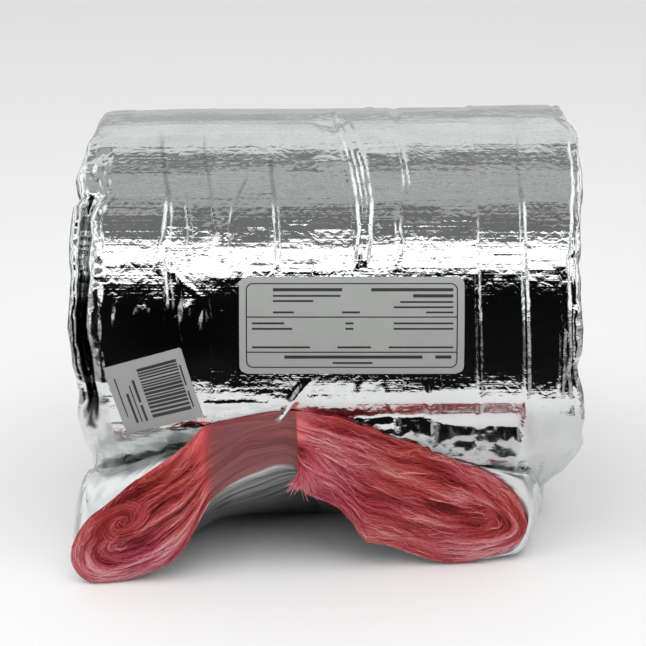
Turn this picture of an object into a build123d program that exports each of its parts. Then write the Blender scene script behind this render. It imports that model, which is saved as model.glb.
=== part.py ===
from build123d import *
import math
import os

# Wound roll, in mm
roll_radius = 136.1
turn_pitch = 14.6  # one turn of the flattened sleeve, wound tight
eye_radius = 12.0
wool_width = 306.0
fold_reach = 9.5  # empty film standing past the wool at each side
end_bevel = 9.0
slit_width = 4.0  # gap between neighbouring turns, seen on the ends
slit_depth = 4.0
slit_sides = 24  # straight chords to each turn of the slit

# Film, tape and paper
film = 0.6
tape = 0.35
paper = 0.3

# Free end of the sleeve, from under the roll to its cut
cut_tilt = 4.0  # cut face looks a little upwards, degrees
cut_yaw = 7.0  # cut is not quite square to the sleeve, degrees
swell_back = 27.0  # fullest section, behind the roll front
root_back = 91.0  # where the free end leaves the roll, behind the roll front
wool_proud = 4.0  # wool springs out past the edge of the film
flat_depth = 1.5  # how far the soft lobes are pressed flat by the floor
# Stations are (share of half the wool width, height, thickness)
cut_stations = [
    (-0.915, 21, 40),
    (-0.667, 41, 54),
    (-0.540, 64, 46),
    (-0.420, 80, 36),
    (-0.163, 87, 32),
    (0.033, 71, 53),
    (0.248, 49, 72),
    (0.582, 31, 59),
    (0.732, 25, 44),
]
swell_stations = [
    (-0.863, 33, 70),
    (-0.654, 40, 64),
    (-0.540, 49, 56),
    (-0.420, 56, 48),
    (-0.163, 60, 44),
    (0.033, 56, 50),
    (0.248, 46, 64),
    (0.582, 32, 66),
    (0.752, 31, 66),
]
cut_caps = (21, 19)  # side folds past the first and last station
swell_caps = (26, 24)
fold_knees = (0.28, 0.72)  # where a side fold bends, along its height

# Tape strip over the crown of the cut
tape_share = -0.307  # its middle, as a share of half the wool width
tape_width = 58.0
tape_start = -10.0  # where it starts on the roll front, degrees from level
tape_under = 25.0  # how far it reaches back under the free end

# Large label on the roll front
rating_long = 140.0
rating_high = 61.0
rating_corner = 5.0
rating_across = 15.9  # its middle, to the right of the middle of the roll
rating_level = 12.0  # its middle, above level, degrees

# Small sticker on the roll front
code_long = 50.5
code_high = 49.0
code_corner = 2.0
code_gap = 1.5  # clear of the tape
code_level = -6.4  # its middle, above level, degrees
code_turn = 15.5

# Derived sizes
width = wool_width + 2 * fold_reach
tape_across = tape_share * wool_width / 2
code_lean = math.radians(code_turn)
code_half = (code_long * math.cos(code_lean) + code_high * math.sin(code_lean)) / 2
code_across = tape_across - tape_width / 2 - code_gap - code_half
beyond = 4 * (width + roll_radius)  # size of blocks that cut right across the part


# One edge of the slit between the turns, winding in towards the eye
def slit_edge(shift):
    slit_turns = (roll_radius - eye_radius) / turn_pitch - 2
    points = []
    for step in range(int(slit_turns * slit_sides) + 1):
        turn = step / slit_sides
        radius = roll_radius - (1 + turn) * turn_pitch + shift
        angle = 2 * math.pi * turn - math.pi / 2
        points.append((radius * math.cos(angle), roll_radius + radius * math.sin(angle)))
    return points


# Bar along the roll from a face in its cross-section
def bar(face, start, length):
    side = Plane(origin=(start, 0, 0), x_dir=(0, 1, 0), z_dir=(1, 0, 0))
    return extrude(side * face, length)


def round_bar(radius):
    return bar(Pos(0, roll_radius) * Circle(radius), -width / 2, width)


# Wound roll with its eye and the spiral of turns on both ends
roll = round_bar(roll_radius)
roll = chamfer(roll.edges().filter_by(GeomType.CIRCLE), end_bevel)
slit = slit_edge(slit_width / 2) + slit_edge(-slit_width / 2)[::-1]
spiral = make_face(Polyline(slit, close=True))
roll -= bar(spiral, -width / 2, slit_depth)
roll -= bar(spiral, width / 2 - slit_depth, slit_depth)
roll -= round_bar(eye_radius)


# Side of the flattened sleeve, folded over in three flats
def side_fold(start, end, reach):
    run = end[0] - start[0]
    rise = end[1] - start[1]
    out = reach / math.hypot(run, rise)
    return [
        (start[0] + run * knee - rise * out, start[1] + rise * knee + run * out)
        for knee in fold_knees
    ]


# Outline of the flattened sleeve through its stations, grown by a skin thickness
def sleeve_outline(stations, caps, grow):
    upper = []
    lower = []
    half_width = wool_width / 2
    for index, (share, height, thick) in enumerate(stations):
        before = stations[max(index - 1, 0)]
        after = stations[min(index + 1, len(stations) - 1)]
        run = (after[0] - before[0]) * half_width
        rise = after[1] - before[1]
        half = (thick / 2 + grow) / math.hypot(run, rise)
        upper.append((share * half_width - rise * half, height + run * half))
        lower.append((share * half_width + rise * half, height - run * half))
    right = side_fold(upper[-1], lower[-1], caps[1] + grow)
    left = side_fold(lower[0], upper[0], caps[0] + grow)
    return make_face(Polyline(upper + right + lower[::-1] + left, close=True))


def upright_plane(back):
    return Plane(origin=(0, back - roll_radius, 0), x_dir=(1, 0, 0), z_dir=(0, -1, 0))


yaw = math.radians(cut_yaw)
tilt = math.radians(cut_tilt)
cut_plane = Plane(
    origin=(0, -roll_radius, 0),
    x_dir=(math.cos(yaw), math.sin(yaw), 0),
    z_dir=(math.sin(yaw) * math.cos(tilt), -math.cos(yaw) * math.cos(tilt), math.sin(tilt)),
)
root_thick = turn_pitch - 2 * film
root_caps = (root_thick / 2, root_thick / 2)
root_share = 1 - turn_pitch / wool_width
root_steps = len(cut_stations) - 1
root_stations = [
    (root_share * (2 * step / root_steps - 1), turn_pitch / 2, root_thick)
    for step in range(root_steps + 1)
]


# Free end grown by a skin, with its mouth pushed forwards and its underside pressed flat
def free_end(grow, proud, floor):
    root = upright_plane(root_back) * sleeve_outline(root_stations, root_caps, grow)
    swell = upright_plane(swell_back) * sleeve_outline(swell_stations, swell_caps, grow)
    mouth = cut_plane * sleeve_outline(cut_stations, cut_caps, grow)
    body = loft([root, swell, mouth], ruled=True)
    if proud > 0:
        body += extrude(mouth, proud)
    above = Pos(0, 0, floor + beyond / 2) * Box(beyond, beyond, beyond)
    return (Pos(0, 0, -flat_depth) * body) & above


# Wool in the free end, and the film around it
wool = free_end(0, wool_proud, film) - round_bar(roll_radius + film)
jacket = free_end(film, 0, 0) - round_bar(roll_radius) - wool

# Clear tape from the roll front, over the cut face and under the free end
tape_top = roll_radius + roll_radius * math.sin(math.radians(tape_start))
band = Box(tape_width, beyond, beyond, align=(Align.CENTER, Align.MAX, Align.MAX))
wrap = free_end(film + tape, wool_proud + tape, 0) + round_bar(roll_radius + tape)
strip = wrap & (Pos(tape_across, tape_under - roll_radius, tape_top) * band)
strip = strip - free_end(film, wool_proud, 0) - round_bar(roll_radius)


# Labels lie on the curve of the roll front
def curved_label(outline, across, level, turn):
    angle = math.radians(level)
    out = (0, -math.cos(angle), math.sin(angle))
    foot = (across, out[1] * roll_radius, roll_radius + out[2] * roll_radius)
    sheet = Rot(0, 0, turn) * outline
    face = Plane(origin=foot, x_dir=(1, 0, 0), z_dir=out) * sheet
    block = extrude(face, roll_radius / 2, both=True)
    return block & (round_bar(roll_radius + paper) - round_bar(roll_radius))


rating_outline = RectangleRounded(rating_long, rating_high, rating_corner)
rating = curved_label(rating_outline, rating_across, rating_level, 0)
code_outline = RectangleRounded(code_long, code_high, code_corner)
code = curved_label(code_outline, code_across, code_level, code_turn)

# Origin on the floor, under the middle of the whole part
nodes = {
    "wound_roll": roll,
    "jacket_end": jacket,
    "wool_blanket": wool,
    "tape_strip": strip,
    "rating_label": rating,
    "code_label": code,
}
whole = Compound(children=[Compound(shape.solids()) for shape in nodes.values()]).bounding_box()
home = Pos(-whole.center().X, -whole.center().Y, -whole.min.Z)
os.makedirs("parts", exist_ok=True)
for name, shape in nodes.items():
    solids = (home * shape).solids()
    print(name, [round(solid.volume) for solid in solids])
    export_step(Compound(solids), "parts/" + name + ".step")
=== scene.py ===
import math

import bmesh
import bpy
import numpy as np
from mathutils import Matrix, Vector


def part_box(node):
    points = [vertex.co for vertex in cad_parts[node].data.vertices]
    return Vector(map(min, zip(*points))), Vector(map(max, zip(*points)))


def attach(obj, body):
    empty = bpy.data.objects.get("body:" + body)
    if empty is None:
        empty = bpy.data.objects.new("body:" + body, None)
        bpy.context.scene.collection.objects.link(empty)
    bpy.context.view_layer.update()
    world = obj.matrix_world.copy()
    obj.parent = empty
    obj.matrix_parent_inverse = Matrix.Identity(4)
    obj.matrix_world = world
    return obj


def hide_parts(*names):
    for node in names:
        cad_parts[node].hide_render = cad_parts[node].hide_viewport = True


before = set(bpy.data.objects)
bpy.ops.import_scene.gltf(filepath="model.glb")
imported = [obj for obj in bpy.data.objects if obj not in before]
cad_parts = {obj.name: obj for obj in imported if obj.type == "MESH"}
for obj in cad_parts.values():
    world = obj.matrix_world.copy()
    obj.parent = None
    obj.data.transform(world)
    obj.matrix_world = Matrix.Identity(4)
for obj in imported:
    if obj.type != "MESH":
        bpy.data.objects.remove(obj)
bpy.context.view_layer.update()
mm = 0.001

# the roll as the solids give it
rollLow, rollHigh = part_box("wound_roll")
rollRadius = (rollHigh.z - rollLow.z) / 2
rollY = rollHigh.y - rollRadius
rollZ = rollLow.z + rollRadius
rollHalf = rollHigh.x
rollFront = rollY - rollRadius
print("frame loaded, roll radius", round(rollRadius, 4))


def smooth(low, high, value):  # 0 up to low, 1 from high on
    step = np.clip((value - low) / (high - low), 0, 1)
    return step * step * (3 - 2 * step)


def window(value, rise, fall):  # up from 0 to 1 over rise, down again over fall
    return smooth(*rise, value) * (1 - smooth(*fall, value))


def bump(value, middle, width):
    return np.exp(-((value - middle) / width) ** 2)


def through(value, pairs):  # straight lines through pairs of numbers
    at = np.array(pairs, float)
    return np.interp(value, at[:, 0], at[:, 1])


def unit(vectors):
    return vectors / np.maximum(np.linalg.norm(vectors, axis=-1, keepdims=True), 1e-9)


noiseCells = 64


def noiseCorners(seed, across, along, period=noiseCells):  # random values round each point, and its place
    cells = np.random.default_rng(seed).random((noiseCells, noiseCells))
    column, row = np.floor(across).astype(int), np.floor(along).astype(int)
    left, right = column % period, (column + 1) % period
    low, high = row % noiseCells, (row + 1) % noiseCells
    corners = cells[low, left], cells[low, right], cells[high, left], cells[high, right]
    return corners, across - column, along - row, (column + row) % 2 == 0


def softNoise(seed, across, along, period=noiseCells):  # smooth value noise, 0 to 1
    (corner, beside, above, far), p, q, _ = noiseCorners(seed, across, along, period)
    p, q = p * p * (3 - 2 * p), q * q * (3 - 2 * q)
    return (corner * (1 - p) + beside * p) * (1 - q) + (above * (1 - p) + far * p) * q


def waveNoise(seed, across, along, period=noiseCells):  # the same about 0
    return softNoise(seed, across, along, period) - 0.5


def foldNoise(seed, across, along):  # sharp folds like creased film, about -0.5 to 0.5
    first = np.abs(2 * softNoise(seed, across, along) - 1)
    second = np.abs(2 * softNoise(seed + 1, across * 2.1 + 7.3, along * 2.1 + 1.7) - 1)
    return 0.65 * first + 0.35 * second - 0.35


def facetNoise(seed, across, along):  # flat three-cornered facets like crushed foil, -0.5 to 0.5
    (corner, beside, above, far), p, q, even = noiseCorners(seed, across, along)
    rising = np.where(p > q, corner + (beside - corner) * p + (far - beside) * q,
                      corner + (far - above) * p + (above - corner) * q)
    falling = np.where(p + q < 1, corner + (beside - corner) * p + (above - corner) * q,
                       far + (above - far) * (1 - p) + (beside - far) * (1 - q))
    return np.where(even, rising, falling) - 0.5


def meshFrom(build, name):
    mesh = bpy.data.meshes.new(name)
    build.to_mesh(mesh)
    build.free()
    return mesh


def meshPoints(mesh):
    flat = np.zeros(len(mesh.vertices) * 3)
    mesh.vertices.foreach_get("co", flat)
    return flat.reshape(-1, 3)


def newGrid(name, columns, rows):  # a flat grid, with u and v of its points
    build = bmesh.new()
    bmesh.ops.create_grid(build, x_segments=columns, y_segments=rows, size=0.5)
    mesh = meshFrom(build, name)
    u, v = np.clip(meshPoints(mesh)[:, :2].T + 0.5, 0, 1)
    return mesh, u, v


def setPoints(mesh, x, y, z):
    mesh.vertices.foreach_set("co", np.stack([x, y, z], axis=1).astype(np.float32).ravel())
    mesh.update()


def setTone(mesh, name, values):
    layer = mesh.attributes.new(name, "FLOAT", "POINT")
    layer.data.foreach_set("value", np.asarray(values, np.float32))


def addObject(name, data):
    made = bpy.data.objects.new(name, data)
    bpy.context.scene.collection.objects.link(made)
    return made


def finishPiece(mesh, material, node, flip=False, closeSeams=True):
    build = bmesh.new()
    build.from_mesh(mesh)
    if closeSeams:
        bmesh.ops.remove_doubles(build, verts=build.verts, dist=1e-6)
        bmesh.ops.dissolve_degenerate(build, edges=build.edges, dist=1e-7)
    if flip:
        bmesh.ops.reverse_faces(build, faces=build.faces)
    for face in build.faces:
        face.smooth = True
    build.to_mesh(mesh)
    build.free()
    piece = addObject(mesh.name, mesh)
    mesh.materials.append(material)
    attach(piece, "root")
    if node:
        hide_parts(node)
    print(mesh.name, "faces", len(mesh.polygons))
    return piece


# materials

def newMaterial(name):
    material = bpy.data.materials.new(name)
    material.use_nodes = True
    tree = material.node_tree
    return material, tree, tree.nodes["Principled BSDF"]


def addNode(tree, kind, **settings):  # a setting is an input of the node or one of its options
    node = tree.nodes.new("ShaderNode" + kind)
    for key, value in settings.items():
        if key in node.inputs:
            node.inputs[key].default_value = value
        else:
            setattr(node, key, value)
    return node


def setInputs(node, values):
    for key, value in values.items():
        node.inputs[key].default_value = value
    return node


def mapRange(tree, toLow=0, toHigh=1, fromLow=0, fromHigh=1, **settings):
    node = addNode(tree, "MapRange", **settings)
    return setInputs(node, {"From Min": fromLow, "From Max": fromHigh, "To Min": toLow, "To Max": toHigh})


def addRamp(tree, stops):
    ramp = addNode(tree, "ValToRGB")
    elements = ramp.color_ramp.elements
    while len(elements) < len(stops):
        elements.new(0.5)
    for element, (place, color) in zip(elements, stops):
        element.position = place
        element.color = (*color, 1)
    return ramp


def addAttribute(tree, name):
    return addNode(tree, "Attribute", attribute_name=name)


def wire(tree, *joins):  # each join is a node, its output, the next node and its input
    for source, out, target, entry in joins:
        tree.links.new(source.outputs[out], target.inputs[entry])


filmLook = {
    "color": (0.77, 0.785, 0.785), "cloudScale": 38, "roughLow": 0.025, "roughHigh": 0.08,
    "crackleScale": 150, "crackleDepth": 0.22, "crackleWarp": 0.02, "lineScale": 330, "lineDepth": 0.3,
}


def metalFilm(name, look):
    material, tree, shader = newMaterial(name)
    base = np.array(look["color"])
    place = addNode(tree, "TexCoord")
    cloud = addNode(tree, "TexNoise", Scale=look["cloudScale"], Detail=5, Roughness=0.6)
    tint = addRamp(tree, [(0.3, base * 0.9), (0.62, base)])
    # the paintedShade attribute darkens the film's colour: painted shade wherever each mesh marks it
    paintedShade, dull, arc = [addAttribute(tree, key) for key in ("paintedShade", "dull", "arc")]
    light = setInputs(addNode(tree, "Math", operation="SUBTRACT"), {0: 1})
    shaded = addNode(tree, "VectorMath", operation="SCALE")
    haze = mapRange(tree, look["roughLow"], look["roughHigh"])
    rough = addNode(tree, "Math", operation="ADD")
    warp = addNode(tree, "MixRGB", blend_type="ADD", Fac=look["crackleWarp"])
    crackle = addNode(tree, "TexVoronoi", feature="DISTANCE_TO_EDGE", Scale=look["crackleScale"])
    crackleRelief = addNode(tree, "Bump", Strength=look["crackleDepth"], Distance=1.2 * mm)
    line = addNode(tree, "TexNoise", noise_dimensions="1D", Scale=look["lineScale"], Detail=3)
    lineRelief = addNode(tree, "Bump", Strength=look["lineDepth"], Distance=0.4 * mm)
    wire(tree, (place, "Object", cloud, "Vector"), (place, "Object", warp, "Color1"),
         (cloud, "Color", warp, "Color2"), (warp, "Color", crackle, "Vector"),
         (cloud, "Fac", tint, "Fac"), (paintedShade, "Fac", light, 1), (tint, "Color", shaded, 0),
         (light, "Value", shaded, "Scale"), (shaded, "Vector", shader, "Base Color"),
         (cloud, "Fac", haze, "Value"), (dull, "Fac", rough, 0), (haze, "Result", rough, 1),
         (rough, "Value", shader, "Roughness"), (arc, "Fac", line, "W"),
         (line, "Fac", lineRelief, "Height"), (crackle, "Distance", crackleRelief, "Height"),
         (lineRelief, "Normal", crackleRelief, "Normal"), (crackleRelief, "Normal", shader, "Normal"))
    shader.inputs["Metallic"].default_value = 1
    return material


barrelFilm = metalFilm("barrelFilm", filmLook)
tailFilmLook = dict(filmLook, roughLow=0.12, roughHigh=0.24, crackleDepth=0.1, lineDepth=0.0)
endFilm = metalFilm("endFilm", tailFilmLook)

woolLook = {  # dark gaps to pale tips: painted shade in the gaps and painted highlight on the tips, over the wool's own uneven tone
    "salmon": [(0.0, (0.16, 0.006, 0.006)), (0.28, (0.4, 0.024, 0.022)), (0.52, (0.58, 0.075, 0.07)),
               (0.76, (0.7, 0.16, 0.15)), (1.0, (0.8, 0.36, 0.34))],
    "rose": [(0.0, (0.15, 0.005, 0.016)), (0.28, (0.38, 0.022, 0.05)), (0.52, (0.55, 0.07, 0.12)),
             (0.76, (0.69, 0.17, 0.23)), (1.0, (0.8, 0.4, 0.45))],
    "speckScale": 900, "speckTone": 0.12, "speckDepth": 0.3,
    "sheen": 0.1, "sheenTint": (1, 0.75, 0.78, 1),
}


def woolFinish(name, look):
    material, tree, shader = newMaterial(name)
    tone, rosy = addAttribute(tree, "tone"), addAttribute(tree, "rosy")
    place = addNode(tree, "TexCoord")
    speck = addNode(tree, "TexNoise", Scale=look["speckScale"], Detail=3)
    shift = mapRange(tree, -look["speckTone"], look["speckTone"])
    total = addNode(tree, "Math", operation="ADD")
    salmon, rose = addRamp(tree, look["salmon"]), addRamp(tree, look["rose"])
    color = addNode(tree, "Mix", data_type="RGBA")  # its colours are inputs 6 and 7 and output 2
    relief = addNode(tree, "Bump", Strength=look["speckDepth"], Distance=1 * mm)
    wire(tree, (place, "Object", speck, "Vector"), (speck, "Fac", shift, "Value"), (tone, "Fac", total, 0),
         (shift, "Result", total, 1), (total, "Value", salmon, "Fac"), (total, "Value", rose, "Fac"),
         (rosy, "Fac", color, 0), (salmon, "Color", color, 6), (rose, "Color", color, 7),
         (color, 2, shader, "Base Color"), (speck, "Fac", relief, "Height"),
         (relief, "Normal", shader, "Normal"))
    setInputs(shader, {"Roughness": 0.85, "Sheen Weight": look["sheen"], "Sheen Tint": look["sheenTint"]})
    return material


tapeLook = {"color": (0.17, 0.1, 0.1, 1), "roughness": 0.22,
            "cloudScale": 120, "cloudLow": 0.85, "cloudHigh": 1.15}


def clearTape(name, look):
    material, tree, shader = newMaterial(name)
    place = addNode(tree, "TexCoord")
    cloud = addNode(tree, "TexNoise", Scale=look["cloudScale"], Detail=4)
    haze = mapRange(tree, look["cloudLow"], look["cloudHigh"])
    cover = addAttribute(tree, "cover")
    share = addNode(tree, "Math", operation="MULTIPLY")
    wire(tree, (place, "Object", cloud, "Vector"), (cloud, "Fac", haze, "Value"), (haze, "Result", share, 0),
         (cover, "Fac", share, 1), (share, "Value", shader, "Alpha"))
    setInputs(shader, {"Base Color": look["color"], "Roughness": look["roughness"]})
    return material


def paperFace(name, color):
    material, tree, shader = newMaterial(name)
    base = np.array(color)
    place = addNode(tree, "TexCoord")
    cloud = addNode(tree, "TexNoise", Scale=60, Detail=4)
    tint = addRamp(tree, [(0.3, base * 0.94), (0.7, base)])
    wire(tree, (place, "Object", cloud, "Vector"), (cloud, "Fac", tint, "Fac"),
         (tint, "Color", shader, "Base Color"))
    shader.inputs["Roughness"].default_value = 0.45
    return material


woolFibre = woolFinish("woolFibre", woolLook)
tapeClear = clearTape("clearTape", tapeLook)
# the label paper is coloured mid grey, darker than its paper: painted shade for the dimly lit front face
labelPaper = paperFace("labelPaper", (0.37, 0.38, 0.37))
printInk = paperFace("printInk", (0.03, 0.03, 0.035))
print("materials made")

# film of the roll: x is mm along it, angle 0 faces the camera side, 90 is the top, 180 the back

filmBarrel = {
    "front": (296, 334), "back": (150, 150),  # columns and rows
    "foldLeft": 0.15, "foldRight": 0.08,  # shares of the columns used up by the folded film
    "shoulderLeft": 24, "shoulderRight": 9,  # mm from the edge in to where the folds start
    "facetLow": 2.3, "facetHigh": 5.0,  # degrees of one flat of the stretched film
    "cellEdges": (-141, -101, -72, -32, -8, 17, 48, 72, 94, 123, 146),  # film is pulled straight between
    "cellBlend": 2.5,  # mm to either side of such an edge
}
filmRelief = {  # mm
    "flatJitter": 0.14, "undulation": 0.45, "crumple": 0.34, "bandWedges": 0.5, "pulledUp": 1.0,
    "crushLarge": 1.2, "crushSmall": 1.5, "leftNip": 1.8, "lowRightFolds": 1.1, "lowRightFacets": 0.5,
    "darkBand": 3.4, "braid": 1.3, "dent": 2.4, "notch": 2.4, "step": 0.8, "finCrush": 2.6, "finSway": 2.8,
}
filmShade = {  # shares of painted shade, darkening the film's colour, and of added roughness where the name ends in Dull
    "contact": 0.75, "leftNip": 0.6, "lowFront": 0.3, "darkBand": 0.6, "creases": 0.32, "lowRight": 0.19,
    "groove": 0.35, "grooveLow": 0.5, "finDull": 0.07, "calmDull": 0.2, "leftDull": 0.12,
    "lowFrontDull": 0.14,
}
# folded film past the wool: mm in from its edge, mm below the roll
leftFold = [(24, 0), (22.8, 0.4), (22, -0.4), (19, -0.8), (16, -0.3), (14.2, 0.6), (13.2, 3), (12.6, 8),
            (9.6, 9.5), (8, 7.5), (7.2, 2.4), (6, 1), (3.5, 0.8), (1.6, 1.8), (0.4, 4.5), (0, 8), (0.8, 11.5),
            (2.5, 15)]
rightFold = [(9, 0), (7.6, 0.2), (6.4, 1.1), (5.2, 0.9), (3.6, 0.4), (2, 1.1), (0.9, 2.4), (0.2, 4.8), (0, 8),
             (0.8, 11.5), (2.5, 15)]
plainFold = [(24, 0), (16, 0.1), (10, 0.4), (6, 0.8), (3, 1.5), (1.2, 3), (0.3, 5.4), (0, 8), (0.8, 11.5),
             (2.5, 15)]
# edge of the folded film on the left and the right: degrees, then mm from the middle of the roll
filmEdges = {
    -1: [(-90, 152), (-40, 151), (-27, 151.5), (-24, 154.5), (-18, 157.5), (-15, 158.6), (-9, 157.5),
         (-4, 158.2), (0, 160.7), (8, 162.6), (15, 163.2), (20, 161.3), (27, 161.1), (35, 161.5),
         (45, 160.6), (48, 155.5), (55, 160.4), (64, 157.4), (74, 153.5), (81, 152), (90, 151.5),
         (110, 152), (180, 160), (270, 152)],
    1: [(-90, 152), (-62, 147), (-47, 143), (-41, 146), (-36, 154), (-30, 160.5), (-25, 164), (-15, 163.4),
        (-2, 159.6), (20, 159), (29, 157.2), (31, 158.6), (41, 161.4), (53, 163.6), (64, 163.2), (75, 164.5),
        (81, 158.5), (92, 160), (120, 158), (180, 161), (270, 152)],
}
# creases that run round the roll's front: height mm, width mm, then degrees and mm across
filmCreases = [
    (1.0, 1.7, [(20, -97), (29, -99), (42, -98), (50, -100), (60, -104), (78, -108)]),
    (0.8, 1.5, [(28, -105), (36, -101), (47, -99)]),
    (0.8, 1.5, [(30, -86), (38, -85), (47, -88)]),
    (0.6, 1.5, [(30, -65), (35, -66), (46, -72), (64, -78), (80, -80)]),
    (0.7, 1.5, [(30, -58), (38, -60), (46, -57), (54, -50)]),
    (1.0, 1.5, [(24, -31), (31, -30), (43, -31.5), (53, -34), (62, -36)]),
    (1.5, 1.9, [(22, 16), (25, 18), (38, 22.4), (50, 20), (60, 16.5), (79, 8), (92, 5)]),
    (1.3, 1.9, [(20, 22), (34, 26), (45, 27), (58, 24), (70, 18), (80, 14)]),
    (0.6, 1.4, [(30, 15), (45, 14), (60, 10), (75, 2)]),
    (1.2, 1.6, [(52, 51), (56, 50), (62, 48.4), (70, 46.5)]),
    (0.4, 1.5, [(36, 44), (44, 47), (52, 50)]),
    (0.8, 1.5, [(20, 38), (26, 42), (33, 47), (40, 44)]),
    (0.7, 1.3, [(-12, 96.8), (-6, 96.4), (20, 94), (38, 93.5)]),
    (0.35, 1.4, [(38, 93.5), (60, 95), (88, 97), (110, 99)]),
    (1.1, 1.5, [(-12, 126), (-6, 125.8), (32, 122.6), (47, 123)]),
    (0.5, 1.5, [(47, 123), (60, 121), (88, 129), (110, 131)]),
    (0.45, 1.2, [(15, -64), (18.8, -75), (24, -91), (29, -100)]),
    (0.4, 1.1, [(13, -62), (16, -61), (21, -54), (26, -48)]),
    (0.5, 1.3, [(4, -87), (12, -90), (20, -88), (28, -94)]),
    (0.9, 1.9, [(-13, 17), (-9, 19), (-2, 21)]),
    (0.6, 1.4, [(-17, 45), (-8, 38), (-2, 35)]),
    (1.1, 2.0, [(-30, 68), (-16, 66), (-8, 64), (-2, 62)]),
    (0.6, 1.4, [(-26, 97), (-16, 97), (-8, 97)]),
    (0.7, 1.5, [(-30, 122), (-16, 126), (-8, 126)]),
    (1.7, 2.6, [(-15, -30), (-9, -21), (-3, -12), (0, -9)]),
    (0.8, 1.6, [(-40, 138), (-20, 146), (-6, 147), (10, 147)]),
    (0.5, 1.8, [(-34, 128), (-22, 134), (-12, 137)]),
]
# folds along the roll: height mm, degrees, then mm across from and to
pullLines = [(0.6, -9.6, -82, -28), (0.35, -12.2, -84, -44), (0.5, -11, -142, -118), (0.5, -14.4, -140, -112)]


def creaseField(x, angle, creases):
    total = np.zeros_like(x)
    for height, width, line in creases:
        first, last = line[0][0], line[-1][0]
        inside = window(angle, (first - 5, first + 2), (last - 2, last + 5))
        total += height * inside * bump(x, through(angle, line), width)
    return total


def upperBand(x, angle):  # 1 where the creases run on upwards as faint dark lines of painted shade
    return window(angle, (43, 49), (100, 112)) * (1 - window(x, (-20, -8), (56, 66)))


def pullField(x, angle):  # short folds along the roll, level with the sticker
    total = np.zeros_like(x)
    for height, level, left, right in pullLines:
        wave = level + 1.6 * waveNoise(65, x / 18 + 20, level + 30)
        total += height * window(x, (left, left + 8), (right - 8, right)) * bump(angle, wave, 0.9)
    return total


def backCreases():  # the far side has creases of the same kind
    rng = np.random.default_rng(41)
    lines = []
    for across in np.arange(-135, 140, 21):
        start = rng.uniform(95, 170)
        length = rng.uniform(30, 110)
        at = across + rng.uniform(-8, 8)
        bend = rng.uniform(-5, 5)
        height, width = rng.uniform(0.4, 1.1), rng.uniform(1.8, 2.8)
        last = at + rng.uniform(-4, 4)
        lines.append((height, width, [(start, at), (start + length / 2, at + bend), (start + length, last)]))
    return lines


def facetRadius(angle, seed):  # flats of pulled film between straight folds
    shared = np.random.default_rng(7)
    own = np.random.default_rng(seed)
    knots = -95 + np.cumsum(shared.uniform(filmBarrel["facetLow"], filmBarrel["facetHigh"], 160))
    knots = knots[knots < 275]
    knots = knots + own.uniform(-0.9, 0.9, len(knots))
    radius = rollRadius / mm + own.uniform(-1, 1, len(knots)) * filmRelief["flatJitter"]
    turn = np.radians(knots)
    flatY = np.interp(angle, knots, radius * np.cos(turn))
    flatZ = np.interp(angle, knots, radius * np.sin(turn))
    return np.hypot(flatY, flatZ) - rollRadius / mm


def offSeam(angle):  # 0 where the front and back films meet under the roll
    return window(angle, (-88, -78), (258, 268))


def endReach(angle, side):  # how far the folded film stands out along the roll
    ripple = 1.8 * waveNoise(90 + side, angle / 5 + 21, 0.3) * offSeam(angle)
    return through(angle, filmEdges[side]) + ripple


def labelCalm(x, angle):  # the film lies smoother under the two labels
    large = window(x, (-63, -56), (88, 95)) * window(angle, (-6, -2.5), (26.5, 30))
    small = bump(x, -108, 30) * bump(angle, -6.4, 13)
    return 1 - 0.88 * np.clip(large + small * 0.8, 0, 1)


def leftNip(x, angle):  # 1 along the line where the left of the free end leaves the roll
    line = np.interp(x, [-135, -92], [-34, -23.5])
    return bump(angle, line + 1, 3.4) * window(x, (-142, -128), (-94, -82))


def dimZone(x, angle):  # soft upright wrinkles in the dark band, where painted shade also darkens the film
    return bump(x, -95, 40) * window(angle, (2, 7), (16, 20))


def bandLean(x, angle):  # slight leans that set where the bright and dark bands of the room end
    lean = 0.3 * smooth(20, 45, x) * (2 * smooth(20, 34, angle) - 1) * bump(angle, 27, 16)
    low = np.interp(x, [-80, -65, -10, 20, 50], [0, -0.7, -0.7, 0, 0.42])
    lean += low * (2 * smooth(-16, 6, angle) - 1) * bump(angle, -5, 14) * (1 - smooth(-6, 0, angle))
    teeth = bump(angle, 27.5, 2.8) * window(x, (-68, -58), (-8, 4))
    return lean + 0.6 * teeth * facetNoise(53, x / 4.5 + 60, angle / 9 + 20)


def tuckRelief(x, angle, arc, tuck):  # the film dips in above the free end and comes out again below
    high = filmRelief
    turnAt = -15 - 4 * smooth(62, 80, x) - 2.6 * waveNoise(43, x / 7 + 30, 0.5)
    depth = np.interp(x, [0, 40, 80], [3.8, 5.4, 6.4])
    span = np.interp(x, [20, 50, 80], [5.3, 6.0, 9.0])
    dip = np.clip((-9.2 - angle) / 5.8, 0, 1)
    rise = (depth + 3.6 * smooth(50, 80, x)) * np.clip((turnAt - angle) / span, 0, 1)
    crushed = smooth(8, 40, x) * smooth(turnAt + 0.5, turnAt - 3, angle) * smooth(-46, -38, angle)
    crush = high["crushLarge"] * facetNoise(19, x / 8 + 40, arc / 5.5 + 60)
    crush += high["crushSmall"] * facetNoise(21, x / 3.6 + 40, arc / 3.4 + 60)
    return tuck * (rise - depth * (1.13 * dip - 0.13 * dip ** 2) + crushed * crush)


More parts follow.
